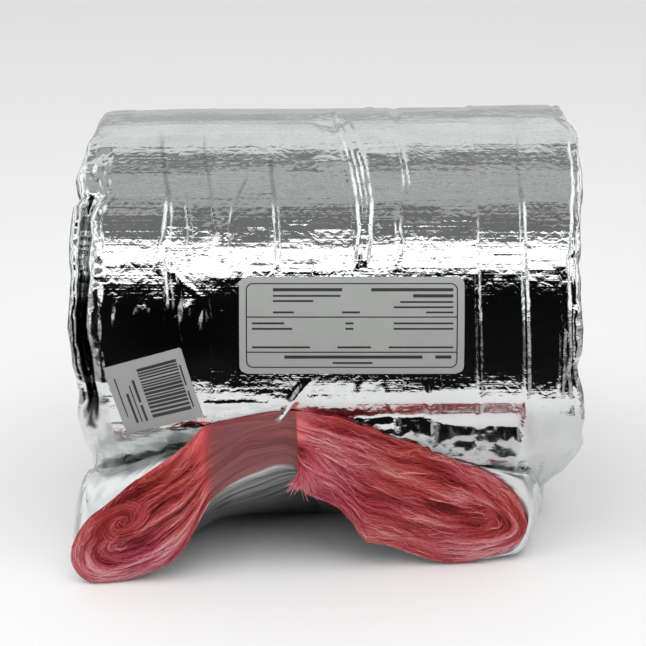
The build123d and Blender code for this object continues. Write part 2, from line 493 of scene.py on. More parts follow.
def barrelRelief(x, angle):  # mm out from the roll
    high = filmRelief
    arc = np.radians(angle) * rollRadius / mm
    relief = np.zeros_like(x)
    onward = np.ones_like(x)
    blend, farEdge = filmBarrel["cellBlend"], 1000  # the last cell has no edge on the film
    for cell, edge in enumerate((*filmBarrel["cellEdges"], farEdge)):
        passed = smooth(edge - blend, edge + blend, x)
        relief += onward * (1 - passed) * facetRadius(angle, 100 + cell)
        onward = onward * passed
    relief += high["undulation"] * 2 * waveNoise(3, x / 85 + 20, arc / 70 + 20)
    patch = smooth(0.45, 0.75, softNoise(5, x / 60 + 9, arc / 45 + 30))
    relief += high["crumple"] * (0.25 + 1.3 * patch) * facetNoise(11, x / 14 + 30, arc / 11 + 30)
    # small crushed wedges along the edge of the bright band
    relief += high["bandWedges"] * bump(angle, 27, 6) * facetNoise(13, x / 7 + 60, arc / 8 + 30)
    # crushed where the free end is pulled up
    pulled = (bump(angle, -9, 4) + 0.8 * bump(angle, -24, 5)) * (0.15 + 0.55 * smooth(-92, -66, x))
    pulled = pulled * (1 - 0.85 * smooth(-20, 0, x) * bump(angle, -12.5, 3))
    relief += high["pulledUp"] * pulled * facetNoise(17, x / 22 + 40, arc / 5 + 60)
    tuck = window(x, (-30, -14), (120, 134))
    relief *= 1 - 0.85 * tuck * bump(angle, -13, 3.2)  # smooth where it mirrors the wool
    relief += tuckRelief(x, angle, arc, tuck)
    relief += high["leftNip"] * leftNip(x, angle) * facetNoise(57, x / 6 + 60, arc / 3.8 + 60)
    # faint wrinkles low on the right
    corner = smooth(120, 134, x) * smooth(-8, -14, angle) * smooth(-50, -40, angle)
    relief += high["lowRightFolds"] * corner * foldNoise(59, x / 12 + 40, arc / 20 + 40)
    relief += high["lowRightFacets"] * corner * facetNoise(63, x / 8 + 40, arc / 8 + 40)
    dim = dimZone(x, angle) * smooth(0.35, 0.6, softNoise(45, x / 20 + 20, arc / 14 + 20))
    relief += high["darkBand"] * dim * facetNoise(47, x / 4.2 + 60, arc / 11 + 30)
    ridge = np.interp(angle, [22, 38, 50, 60, 79], [19, 24, 23.4, 20, 11])
    braid = bump(x, ridge, 4.5) * window(angle, (20, 24), (62, 76))
    relief += high["braid"] * braid * facetNoise(49, x / 3.6 + 60, arc / 7 + 30)
    relief += creaseField(x, angle, filmCreases) * (1 - 0.75 * upperBand(x, angle))
    relief += creaseField(x, angle, backCreases()) + pullField(x, angle)
    dent = np.clip(1 - np.abs(x - 2.5) / 12 - np.abs(angle - 80) / 13, 0, 1)
    relief -= dent * high["dent"] * (1 - 0.5 * facetNoise(51, x / 8 + 20, arc / 9 + 20))
    # the top sags to the left, with a notch right of the middle and a low step beyond
    relief -= np.interp(x, [-150, -100, 0, 150], [4.0, 2.6, 1.6, 0]) * bump(angle, 95, 28)
    relief -= high["notch"] * bump(x, 46, 2.4) * bump(angle, 94, 10)
    relief += high["step"] * smooth(95, 99, x) * bump(angle, 98, 12)
    return relief * labelCalm(x, angle) + bandLean(x, angle)


def foldProfile(share, fold):  # share 0 at the shoulder, 1 at the tucked-in edge; mm in and mm down
    line = np.array(fold, float)
    place = np.concatenate([[0], np.cumsum(np.hypot(*np.diff(line, axis=0).T))])
    fine = np.linspace(0, 1, 121)
    kernel = np.hanning(15)
    kernel /= kernel.sum()
    found = []
    for values in line.T:
        even = np.interp(fine, place / place[-1], values)
        rounded = np.convolve(np.pad(even, len(kernel) // 2, mode="edge"), kernel, mode="valid")
        found.append(np.interp(share, fine, rounded))
    return found


def makeBarrel(name, size, angles):
    settings = filmBarrel
    mesh, u, v = newGrid(name, *size)
    angle = np.interp(v, np.linspace(0, 1, len(angles)), angles)
    turn = np.radians(angle)
    arc = turn * rollRadius / mm
    foldLeft, foldRight = settings["foldLeft"], settings["foldRight"]
    left = np.clip((foldLeft - u) / foldLeft, 0, 1)
    right = np.clip((u - 1 + foldRight) / foldRight, 0, 1)
    main = np.clip((u - foldLeft) / (1 - foldLeft - foldRight), 0, 1)
    leftEdge, rightEdge = -endReach(angle, -1), endReach(angle, 1)
    plain = window(angle, (43, 50), (118, 135)) + smooth(-9, -20, angle)  # 1 where the film only rounds over
    leftIn, leftDrop = foldProfile(left, leftFold)
    plainIn, plainDrop = foldProfile(left, plainFold)
    leftIn, leftDrop = leftIn + (plainIn - leftIn) * plain, leftDrop + (plainDrop - leftDrop) * plain
    rightIn, rightDrop = foldProfile(right, rightFold)
    x = (leftEdge + settings["shoulderLeft"]) * (1 - main) + (rightEdge - settings["shoulderRight"]) * main
    x = np.where(left > 0, leftEdge + leftIn, np.where(right > 0, rightEdge - rightIn, x))
    drop = np.where(left > 0, leftDrop, np.where(right > 0, rightDrop, 0))
    fin = smooth(0, 0.12, left) * (1 - 0.75 * window(angle, (62, 74), (118, 135))) + smooth(0.05, 0.3, right)
    along = left * 5 - right * 4 + 30  # steps of the crushed facets across the fold
    crush = 0.8 * facetNoise(23, along * 0.7, arc / 7.5 + 40)
    crush += 0.5 * facetNoise(29, along * 2.1, arc / 4 + 60)
    sway = facetNoise(31, along * 0.5, arc / 24 + 50) + 0.4 * facetNoise(37, along, arc / 9 + 50)
    # softer low down
    calm = np.where(x > 0, 0.7 + 0.3 * smooth(-18, -6, angle), 0.3 + 0.7 * smooth(-14, -4, angle))
    loose = fin * calm * offSeam(angle)
    relief = barrelRelief(x, angle) * (1 - 0.7 * np.clip(fin, 0, 1)) + filmRelief["finCrush"] * loose * crush
    x = x + np.sign(x) * filmRelief["finSway"] * loose * sway
    radius = rollRadius + (relief - drop) * mm
    z = np.maximum(rollZ + radius * np.sin(turn), 0.2 * mm)
    setPoints(mesh, x * mm, rollY - radius * np.cos(turn), z)
    setTone(mesh, "arc", (arc + 4 * np.searchsorted(settings["cellEdges"], x)) * mm)
    shade = filmShade
    blur = bump(x, -122, 34) * bump(angle, -17, 7)
    low = window(x, (10, 34), (118, 126)) * smooth(-17, -22, angle) * smooth(-50, -42, angle)
    dull = (shade["finDull"] + shade["calmDull"] * (1 - calm)) * np.clip(fin, 0, 1)
    setTone(mesh, "dull", dull + shade["leftDull"] * blur + shade["lowFrontDull"] * low)
    # painted shade: a dark line where the free end leaves the roll, for the shadow in the gap
    contact = np.interp(x, [40, 65, 96, 118, 134], [-21, -25.5, -32.4, -36.2, -41])
    paintedShade = shade["contact"] * bump(angle, contact, 2) * window(x, (50, 70), (130, 142))
    # painted shade along the nip on the left and low on the front by the free end
    paintedShade += shade["leftNip"] * leftNip(x, angle) + shade["lowFront"] * low
    # painted shade that dims the film in the dark band
    paintedShade += shade["darkBand"] * dimZone(x, angle)
    # painted shade: faint dark lines along the creases in the upper band
    line = np.clip(creaseField(x, angle, filmCreases) / 0.6, 0, 1)
    paintedShade += shade["creases"] * line ** 4 * upperBand(x, angle) * (1 - smooth(66, 76, angle))
    # painted shade in the groove behind the outer fold
    groove = smooth(1.5, 5, leftDrop) * smooth(6.4, 7.6, leftIn) * (left > 0) * np.clip(1 - plain, 0, 1)
    paintedShade += groove * (shade["groove"] + shade["grooveLow"] * smooth(28, 22, angle))
    # painted shade: darker low on the right end of the roll
    corner = smooth(116, 130, x) * smooth(-9, -15, angle) * (angle < 100)
    setTone(mesh, "paintedShade", np.minimum(paintedShade, 0.95) + shade["lowRight"] * corner)
    return finishPiece(mesh, barrelFilm, "wound_roll")


makeBarrel("film_barrel_front", filmBarrel["front"], (-92, -50, -8, 34, 72, 110))
makeBarrel("film_barrel_back", filmBarrel["back"], (108, 271))

# wound ends: each turn shows as a pillow of folded film

rollEnd = {
    "around": 300, "inward": 104, "pitch": 14.6 * mm, "eye": 12 * mm, "eyeDepth": 40 * mm,
    "rimGap": 11.5 * mm,  # from the face of the roll in to the rim of the end
    "proud": 1.2 * mm,  # the pillows lie about the end of the solid
    "puff": 4.5 * mm, "uneven": 4 * mm, "pleats": 1.1 * mm, "sway": 1.5 * mm,
}


def makeEnd(name, side):
    settings = rollEnd
    columns, rows, eye = settings["around"], settings["inward"], settings["eye"]
    mesh, u, v = newGrid(name, columns, rows)
    angle = -90 + 360 * u
    turn = np.radians(angle)
    rim = rollRadius - settings["rimGap"]
    radius = rim + (eye * 0.55 - rim) * v
    winding = (rollRadius - radius) / settings["pitch"] - u
    number = np.floor(winding)
    pillow = np.abs(np.sin(math.pi * (winding - number))) ** 0.55
    level = waveNoise(61 + side, number * 0.37 + 5, angle / 70 + 9)
    pleat = foldNoise(67 + side, angle / 4.2 + number * 3.1 + 20, radius / 0.03 + 20)
    crush = foldNoise(71 + side, radius / 0.009 + 20, radius * turn / 0.02 + 40)
    edge = (endReach(angle, side) - 2.5) * mm
    middle = rollHalf + settings["proud"]
    reach = middle + (edge - middle) * smooth(60 * mm, rim - 4 * mm, radius)
    reach += settings["puff"] * (pillow - 1) + settings["uneven"] * level
    reach += settings["pleats"] * (pleat * 1.6 + crush)
    reach -= settings["eyeDepth"] * smooth(eye * 1.45, eye * 0.6, radius)
    reach -= 4 * mm * smooth(rim - 7 * mm, rim, radius)
    radius = radius + settings["sway"] * waveNoise(73 + side, angle / 25 + 20, number * 0.6 + 4)
    points = np.stack([side * reach, rollY - radius * np.cos(turn), rollZ + radius * np.sin(turn)])
    # the two ends of each ring meet where u is 0 and 1
    rings = np.lexsort((u, np.round(v * rows))).reshape(-1, columns + 1)
    points[:, rings[:, -1]] = points[:, rings[:, 0]]
    setPoints(mesh, *points)
    return finishPiece(mesh, barrelFilm, "wound_roll", flip=side > 0)


makeEnd("wound_end_left", -1)
makeEnd("wound_end_right", 1)

# free end: outline of the cut sleeve, mm along the cut and above the floor

cutUpper = [(-150, 41), (-137, 51), (-118, 66), (-98, 79), (-79, 92), (-54, 100), (-25, 104.5), (3, 101),
            (24, 95.5), (48, 85), (74, 74.5), (97, 64), (113, 53), (124, 41)]
cutRight = [(130, 25), (128, 16)]
cutLower = [(120, 10), (106, 4.5), (88, 2), (72, 4), (59, 8.5), (46, 14), (34, 18.5), (24, 23), (16, 35),
            (6, 45), (-7, 51), (-15, 57), (-19.5, 71), (-30, 73.5), (-42, 70), (-54, 65.5), (-66, 58.5),
            (-76, 48), (-86, 30), (-96, 16), (-108, 8), (-121, 4), (-134, 1.5), (-148, 1)]
cutLeft = [(-157, 8), (-161, 18), (-158, 29)]
freeEnd = {
    "yaw": 7.0, "tilt": 4.0, "rootBack": 91 * mm, "swellBack": 27 * mm, "perKnot": 10, "along": 110,
    "rootHalf": 148 * mm, "rootHigh": 14.6 * mm, "archPaintedShade": 0.6, "archFolds": 1.8 * mm,
    "slantFolds": 0.8 * mm, "ringFolds": 0.3 * mm, "crush": 0.8 * mm,
}
cutSides = (cutUpper, cutRight, cutLower, cutLeft)
upperCount, rightCount, lowerCount, leftCount = [len(side) for side in cutSides]
cutKnots = np.concatenate(cutSides).astype(float)
knotCount = len(cutKnots)
yaw, tilt = math.radians(freeEnd["yaw"]), math.radians(freeEnd["tilt"])
cutFoot = np.array([0, rollFront, 0])
cutAcross = np.array([math.cos(yaw), math.sin(yaw), 0])
cutOut = np.array([math.sin(yaw) * math.cos(tilt), -math.cos(yaw) * math.cos(tilt), math.sin(tilt)])
cutRise = np.cross(cutOut, cutAcross)


def closedCurve(knots):  # even spline through a ring of points
    before, after, second = [np.roll(knots, shift, axis=0) for shift in (1, -1, -2)]
    parts = []
    for step in range(freeEnd["perKnot"]):
        t = step / freeEnd["perKnot"]
        parts.append(0.5 * (2 * knots + (after - before) * t
                            + (2 * before - 5 * knots + 4 * after - second) * t ** 2
                            + (3 * knots - before - 3 * after + second) * t ** 3))
    return np.stack(parts, axis=1).reshape(-1, knots.shape[1])


def cutPoint(s, h, out):  # s along the cut, h up and out of it, in metres
    return (cutFoot + np.multiply.outer(s, cutAcross) + np.multiply.outer(h, cutRise)
            + np.multiply.outer(out, cutOut))


def sectionRing(across, back, high):  # upright section of the sleeve, behind the roll's front
    return closedCurve(np.stack([across, np.full(knotCount, rollFront + back), high], axis=1))


def sleeveSections():
    lift = np.zeros(knotCount)  # 1 on the upper film, 0 on the lower
    lift[:upperCount] = 1
    lift[upperCount:upperCount + rightCount] = [0.7, 0.3]
    lift[-leftCount:] = [0.25, 0.5, 0.8]
    s, h = cutKnots.T
    share = np.interp(s, [-161, 130], [-1, 1])
    root = sectionRing(share * freeEnd["rootHalf"], freeEnd["rootBack"], lift * freeEnd["rootHigh"])
    # the film sinks in behind the cut on the right, and stays up behind the right of the arch
    behind = np.interp(s, [-160, -130, -92, -60, -20, 30, 80, 130], [58, 62, 70, 64, 60, 50, 55, 58])
    under = h * (0.5 + 0.35 * bump(s, 15, 36))
    across = np.interp(share, [-1, -0.9, 0.85, 1], [-159, -150, 124, 138])
    swell = sectionRing(across * mm, freeEnd["swellBack"], (under * (1 - lift) + behind * lift) * mm)
    return root, swell, closedCurve(cutPoint(s * mm, h * mm, 0))


rootRing, swellRing, cutRing = sleeveSections()
ringCount = len(cutRing)


def ringAt(ring, place):  # place runs 0 to 1 round the ring
    spot = np.mod(place, 1) * ringCount
    first = np.floor(spot).astype(int) % ringCount
    part = (spot - np.floor(spot))[:, None]
    return ring[first] * (1 - part) + ring[(first + 1) % ringCount] * part


def outOfRoll(points, gap, floor=0.0):  # no deeper than gap under the roll's face, and not below the floor
    dy, dz = points[:, 1] - rollY, points[:, 2] - rollZ
    far = np.hypot(dy, dz)
    inside = (far < rollRadius - gap) & (points[:, 1] < rollY)
    scale = np.where(inside, (rollRadius - gap) / np.maximum(far, 1e-6), 1)
    points[:, 1] = rollY + dy * scale
    points[:, 2] = np.maximum(rollZ + dz * scale, floor)
    return points


def archShare(u):  # 1 on the underside of the arch
    across = ringAt(cutRing, u)[:, 0] / mm
    lowFrom, lowTo = (upperCount + rightCount - 0.5) / knotCount, (knotCount - leftCount) / knotCount
    lower = window(u, (lowFrom - 0.01, lowFrom + 0.01), (lowTo - 0.02, lowTo))
    return lower * window(across, (-112, -92), (20, 50))


def makeTailFilm():
    settings = freeEnd
    mesh, u, v = newGrid("jacket_film_end", ringCount, settings["along"])
    root, swell, cut = [ringAt(ring, u) for ring in (rootRing, swellRing, cutRing)]
    across = cut[:, 0] / mm
    upper = 1 - smooth((upperCount - 1.5) / knotCount, (upperCount - 0.5) / knotCount, u)
    cut[:, 2] -= 6 * mm * upper * window(across, (-104, -88), (20, 50))  # the wool rises past it
    t = v[:, None]
    middle = 2 * swell - (root + cut) / 2
    points = (1 - t) ** 2 * root + 2 * t * (1 - t) * middle + t ** 2 * cut
    away = unit(np.stack([0.15 * points[:, 0], np.zeros(len(u)), points[:, 2] - 38 * mm], axis=1))
    around, length = u * 0.62, v * 0.12  # metres round and along the sleeve, near enough for wrinkles
    arcs = foldNoise(131, around / 0.06 + 20, length / 0.0055 + 20)
    slant = foldNoise(137, (around + length) / 0.0055 + 20, (around - length) / 0.06 + 40)
    crush = facetNoise(139, around / 0.011 + 10, length / 0.008 + 30) * smooth(0.8, 0.55, v)
    arch = archShare(u)
    relief = settings["slantFolds"] * slant + settings["ringFolds"] * arcs + settings["crush"] * crush
    relief = (1 - arch) * relief + arch * settings["archFolds"] * arcs
    points += away * (smooth(0.3, 0.6, v) * relief)[:, None]
    hidden = 3 * mm + 6 * mm * smooth(-40 * mm, -20 * mm, points[:, 0])
    setPoints(mesh, *outOfRoll(points, hidden, 0.1 * mm).T)
    setTone(mesh, "dull", 0.14 * (1 - arch) * smooth(0.6, 0.72, v) - 0.06 * smooth(0.72, 0.5, v))
    # painted shade under the arch, darker still in the valleys of its folds
    paintedShade = settings["archPaintedShade"] * smooth(1.0, 0.9, v) + 0.3 * smooth(-0.08, -0.26, arcs)
    setTone(mesh, "paintedShade", arch * paintedShade)
    return finishPiece(mesh, endFilm, "jacket_end")


makeTailFilm()

# wool in the cut end: lines of fibre run round inside the sleeve, about a line down its middle

woolEnd = {"around": 420, "inward": 58, "proud": 4.6 * mm, "edge": 0.3 * mm, "thick": 26, "crownRise": 5,
           "strandHigh": 2.2 * mm, "bundleHigh": 3.6 * mm, "lumpHigh": 3.4 * mm, "pressedHigh": 1.0 * mm,
           "tapeFrom": -76, "tapeTo": -18, "swirl": (-130, 41), "swirlSize": 13}
woolMiddle = [(-134, 24), (-112, 33), (-92, 46), (-74, 66), (-50, 83), (-25, 86), (2, 74), (24, 59), (48, 47),
              (74, 38), (104, 31)]
# the layers turn round at both ends: mm along the cut at the edge, and at the middle
woolTurns = [(-161, -134), (-142, -128), (-112, -112), (76, 76), (112, 97), (130, 104)]

outlineRing = closedCurve(cutKnots)
middleAcross = through(outlineRing[:, 0], woolTurns)
middleRing = np.stack([middleAcross, through(middleAcross, woolMiddle)], axis=1)
ringSteps = np.linalg.norm(np.roll(outlineRing, -1, axis=0) - outlineRing, axis=1)
ringLength = ringSteps.sum()
ringEven = np.concatenate([[0], np.cumsum(ringSteps)]) / ringLength


def woolSpot(share, depth):  # mm on the cut face; share is even along the outline, depth 1 at the middle
    place = np.interp(np.mod(share, 1), ringEven, np.arange(ringCount + 1) / ringCount)
    edge = ringAt(outlineRing, place)
    return edge + (ringAt(middleRing, place) - edge) * depth[:, None]


def runNoise(seed, share, cell, lane):  # noise along the fibres that closes on itself round the ring
    cells = min(noiseCells, round(ringLength / cell))
    return waveNoise(seed, np.mod(share, 1) * cells, lane, cells)


def laneShift(share, inward):  # the fibres wave as they run
    return 4.4 * runNoise(171, share, 30, inward / 10 + 20) + 2.2 * runNoise(173, share, 12, inward / 6 + 20)


def tapePress(s, h):  # 1 where the tape holds the wool flat
    return window(s, (-80, -74), (-19.5, -16.5)) * smooth(45, 60, h)


def swirlShare(s, h):
    middle = woolEnd["swirl"]
    return bump(np.hypot(s - middle[0], (h - middle[1]) * 1.3), 0, woolEnd["swirlSize"])


def overEdge(depth):  # the wool swells a little over the edge of the film
    return depth - 0.05 * (1 - smooth(0, 0.25, depth))


def crownShare(s, h, depth):  # 1 at the upper edge of the crown, where the wool rounds back to the roll
    upper = smooth(0, 6, h - through(s, woolMiddle))
    return upper * (1 - smooth(0, 0.24, depth)) * window(s, (-90, -66), (4, 36))


def crownLean(s, h, depth):
    under = np.clip(rollZ - h * mm, -rollRadius, rollRadius)
    gap = np.clip(rollRadius - s * mm * math.sin(yaw) - np.sqrt(rollRadius ** 2 - under ** 2), 0, 14 * mm)
    return (0.95 * gap + 3.5 * mm * smooth(-24, -8, s)) * crownShare(s, h, depth)


def woolHeight(share, depth, s, h):
    inward = depth * woolEnd["thick"]
    lane = inward + laneShift(share, inward)
    strands = runNoise(151, share, 24, lane / 1.5 + 20)
    bundles = runNoise(157, share, 36, lane / 4.4 + 40)
    lumps = waveNoise(163, s / 22 + 30, h / 18 + 30)
    face = woolEnd["edge"] + (woolEnd["proud"] - woolEnd["edge"]) * np.sqrt(np.clip(depth / 0.3, 0, 1))
    meet = 1 - smooth(0.8, 1.0, depth)  # both layers come to one height where they meet
    rough = woolEnd["strandHigh"] * strands + woolEnd["bundleHigh"] * bundles
    rough = rough * meet * (1 - 0.7 * swirlShare(s, h)) + woolEnd["lumpHigh"] * lumps
    rough = rough * smooth(0.02, 0.2, depth) - 1.4 * mm * (1 - meet)
    press = tapePress(s, h)
    height = face * (1 - press) + woolEnd["pressedHigh"] * press + rough * (1 - 0.93 * press)
    return height - crownLean(s, h, depth), strands, bundles


def woolTone(s, h, depth, strands, bundles):
    # the same strands and bundles raise the wool, so the tone is painted shade where it sinks and painted
    # highlight where it stands
    tone = 0.5 + 0.5 * strands + 0.75 * bundles
    tone -= 0.2 * smooth(-70, -110, s) * smooth(24, 52, h)  # deep red on the left, above
    tone += 0.18 * smooth(0, 40, s) * smooth(34, 10, h)  # paler low down
    tone += 0.06 * smooth(-60, -80, s) * smooth(34, 16, h)
    tone -= 0.06 * smooth(0, 24, s) + 0.12 * smooth(0.85, 1.0, depth)
    tone += 0.14 * smooth(0.2, 0.02, depth)  # thin pale fuzz at the edge
    press = tapePress(s, h)
    return np.clip(tone * (1 - press) + press * (0.46 + 0.5 * strands + 0.4 * bundles), 0, 1)


def woolRosy(s, h):  # the wool is pinker low down and beside the tape
    rosy = 0.3 + 0.7 * waveNoise(181, s / 30 + 20, h / 22 + 20)
    rosy += 0.55 * smooth(-60, -80, s) * smooth(34, 16, h)
    rosy += 0.7 * bump(s, 0, 17) * smooth(95, 60, h)
    rosy += 0.25 * smooth(20, 60, s) * smooth(34, 14, h) - 0.35 * bump(s, 38, 30) * smooth(44, 62, h)
    return np.clip(rosy, 0, 1)


def makeWool():
    mesh, u, v = newGrid("wool_cut_face", woolEnd["around"], woolEnd["inward"])
    s, h = woolSpot(u, overEdge(v)).T
    out, strands, bundles = woolHeight(u, v, s, h)
    points = cutPoint(s * mm, (h + woolEnd["crownRise"] * crownShare(s, h, v)) * mm, out)
    besideTape = smooth(-24 * mm, -8 * mm, points[:, 0]) * (points[:, 2] > 80 * mm)
    setPoints(mesh, *outOfRoll(points, -0.8 * mm + 4 * mm * besideTape, 0.4 * mm).T)
    setTone(mesh, "tone", woolTone(s, h, v, strands, bundles))
    setTone(mesh, "rosy", woolRosy(s, h))
    piece = finishPiece(mesh, woolFibre, "wool_blanket", flip=True)
    return piece


makeWool()

woolStrands = {"count": 10800, "segments": 7, "swirlCount": 620, "fanCount": 760, "fuzzCount": 1300,
               "widthLow": 0.2 * mm, "widthHigh": 0.75 * mm, "twist": 0.45}


def edgeHeight(line, s):
    return through(s, sorted(map(tuple, line)))


def ribbonMesh(name, centre, sideways, tone, rosy):  # centre and sideways are strands by points by xyz
    count, points, _ = centre.shape
    verts = np.stack([centre - sideways, centre + sideways], axis=2).reshape(-1, 3)
    base = np.arange(count)[:, None] * points * 2 + np.arange(points - 1) * 2
    quads = np.stack([base, base + 1, base + 3, base + 2], axis=-1).reshape(-1, 4)
    mesh = bpy.data.meshes.new(name)
    mesh.vertices.add(len(verts))
    mesh.vertices.foreach_set("co", verts.astype(np.float32).ravel())
    mesh.loops.add(quads.size)
    mesh.loops.foreach_set("vertex_index", quads.ravel().astype(np.int32))
    mesh.polygons.add(len(quads))
    mesh.polygons.foreach_set("loop_start", np.arange(0, quads.size, 4, dtype=np.int32))
    mesh.update(calc_edges=True)
    setTone(mesh, "tone", np.repeat(tone.reshape(-1), 2))
    setTone(mesh, "rosy", np.repeat(rosy.reshape(-1), 2))
    return mesh


# each kind of strand gives arrays of strands by points: s, h, out, tone and rosy

def layeredStrands(rng, along):  # fibres that follow the layers of the wool
    shape = count, points = woolStrands["count"], len(along)
    one = (count, 1)
    start = rng.random(one)
    lane = np.repeat(rng.random(count) ** 0.9 * woolEnd["thick"], points)
    share = (start + along * (rng.uniform(9, 44, one) / ringLength)).ravel()
    stray = rng.normal(0, 2.2, one) * along
    swing = rng.uniform(0, 1.3, one)
    stray = stray + swing * np.sin(along * rng.uniform(4, 16, one) + rng.uniform(0, 6.28, one))
    depth = np.clip((lane - laneShift(share, lane) + stray.ravel()) / woolEnd["thick"], -0.02, 1)
    inside = np.clip(depth, 0, 1)
    s, h = woolSpot(share, overEdge(depth)).T
    out, strands, bundles = woolHeight(share, inside, s, h)
    press = tapePress(s, h)
    lift = rng.uniform(0.1, 1.7, one) * (1 - 2.2 * along ** 2) + rng.normal(0, 0.35, one)
    out = out + lift.ravel() * mm * (1 - press) + 0.15 * mm
    tone = woolTone(s, h, inside, strands, bundles) + np.repeat(rng.normal(0.06, 0.15, count), points)
    h = h + woolEnd["crownRise"] * crownShare(s, h, inside)
    keep = press.reshape(shape).max(axis=1) < 0.4
    keep &= swirlShare(s, h).reshape(shape).max(axis=1) < 0.75
    return [part.reshape(shape)[keep] for part in (s, h, out, tone, woolRosy(s, h))]


def swirlStrands(rng, along):  # the eddy in the left lobe, fibres on open spirals
    one = (woolStrands["swirlCount"], 1)
    middle, size = woolEnd["swirl"], woolEnd["swirlSize"]
    pull, lean = 0.3, math.radians(28)  # how fast the spirals open, and the slope of the eddy
    radius = size * rng.uniform(0.01, 1.0, one) ** 0.7
    start = rng.uniform(0, 6.28, one)
    angle = start + along * rng.uniform(0.9, 2.6, one)
    grow = radius * np.exp(pull * (angle - start)) + rng.normal(0, 0.35, one)
    wide, tall = grow * np.cos(angle) * 1.3, grow * np.sin(angle) * 0.75
    s = middle[0] + wide * math.cos(lean) - tall * math.sin(lean)
    h = middle[1] + wide * math.sin(lean) + tall * math.cos(lean)
    out = woolEnd["proud"] + (rng.uniform(0.0, 2.2, one) - 1.5 * np.abs(along)) * mm
    arm = np.cos(np.log(radius / size) / pull - start)  # paler and darker arms of the eddy
    tone = 0.38 + 0.12 * arm + rng.normal(0, 0.13, one) + 0 * along
    return [s, h, out, tone, np.full_like(s, 0.2)]


def fanStrands(rng, along):  # wool bursting out beside the tape, down to the edge of the arch
    one = (woolStrands["fanCount"], 1)
    t = along + 0.5
    place = rng.random(one)
    s0, h0 = -17 + 4 * rng.random(one), 60 + 34 * (0.25 * rng.random(one) + 0.75 * place)
    s1 = s0 - 8 + 42 * place + rng.normal(0, 3, one)
    h1 = np.minimum(edgeHeight(cutLower, s1), 58) + 22 * place ** 2 + rng.normal(0, 2.4, one) - 1
    reach = rng.uniform(0.6, 1.0, one)
    s = s0 + (s1 - s0) * t * reach
    h = h0 + (h1 - h0) * (t * reach) ** (1.0 + 0.5 * rng.random(one))
    out = rng.uniform(0.2, 3.0, one) * np.sin(math.pi * t * 0.85) * mm
    out = out + woolEnd["proud"] * smooth(-0.1, 0.25, t)
    tone = 0.38 + 0.6 * t ** 1.6 + rng.normal(0, 0.12, one)
    return [s, h, out, tone, np.full_like(s, 0.95) - 0.5 * place]


def fuzzStrands(rng, along):  # short loose fibres standing out along the edge of the wool
    count = woolStrands["fuzzCount"]
    one = (count, 1)
    t = along + 0.5
    start = rng.random(count)
    edge, inner, after = [woolSpot(start + shift, np.full(count, depth))
                          for shift, depth in ((0, 0.02), (0, 0.25), (0.004, 0.02))]
    outward, forward = unit(edge - inner), unit(after - edge)
    rise, run = rng.uniform(0.4, 2.6, one), rng.normal(0, 4.5, one)
    s, h = [edge[:, [axis]] + outward[:, [axis]] * rise * t + forward[:, [axis]] * run * t ** 1.4
            for axis in (0, 1)]
    out = (0.8 + rng.uniform(0, 2.4, one) * np.sin(math.pi * t * 0.8)) * mm
    tone = 0.62 + 0.2 * t + rng.normal(0, 0.1, one)
    crown = window(s[:, 0], (-88, -78), (30, 60)) * smooth(60, 75, h[:, 0])
    keep = (crown < 0.2) & (tapePress(s, h).max(axis=1) < 0.2)
    return [part[keep] for part in (s, h, out, tone, np.clip(woolRosy(s, h) + 0.2, 0, 1))]


def makeStrands():
    settings = woolStrands
    rng = np.random.default_rng(211)
    along = np.linspace(-0.5, 0.5, settings["segments"] + 1)
    groups = [kind(rng, along) for kind in (layeredStrands, swirlStrands, fanStrands, fuzzStrands)]
    s, h, out, tone, rosy = [np.concatenate(parts) for parts in zip(*groups)]
    count = len(s)
    flat = outOfRoll(cutPoint(s.ravel() * mm, h.ravel() * mm, out.ravel()), -1.0 * mm, 0.5 * mm)
    centre = flat.reshape(*s.shape, 3)
    sideways = unit(np.cross(np.gradient(centre, axis=1), cutOut))
    twist = rng.normal(0, settings["twist"], (count, 1, 1))
    sideways = sideways * np.cos(twist) + cutOut * np.sin(twist)
    taper = np.clip(1.25 - np.abs(along) * 2.2, 0.15, 1)
    low, high = settings["widthLow"], settings["widthHigh"]
    width = (low + (high - low) * rng.random((count, 1, 1)) ** 1.6) / 2
    mesh = ribbonMesh("wool_strands", centre, sideways * width * taper[:, None], np.clip(tone, 0, 1), rosy)
    return finishPiece(mesh, woolFibre, "wool_blanket", closeSeams=False)


makeStrands()

# clear tape from the roll front, over the cut and under the arch

tapeStrip = {
    "columns": 40, "rows": 90, "startAngle": -10, "under": 24 * mm, "gap": 0.5 * mm,
    "ontoCut": 0.34, "underCut": 0.76, "bend": 0.04,  # shares of its length
    "lift": 1.9 * mm, "bulge": 2.0 * mm, "ripple": 0.5 * mm,
    "cover": 0.06, "coverCut": 0.46, "coverUnder": -0.3,  # on the roll, and what is added further on
}


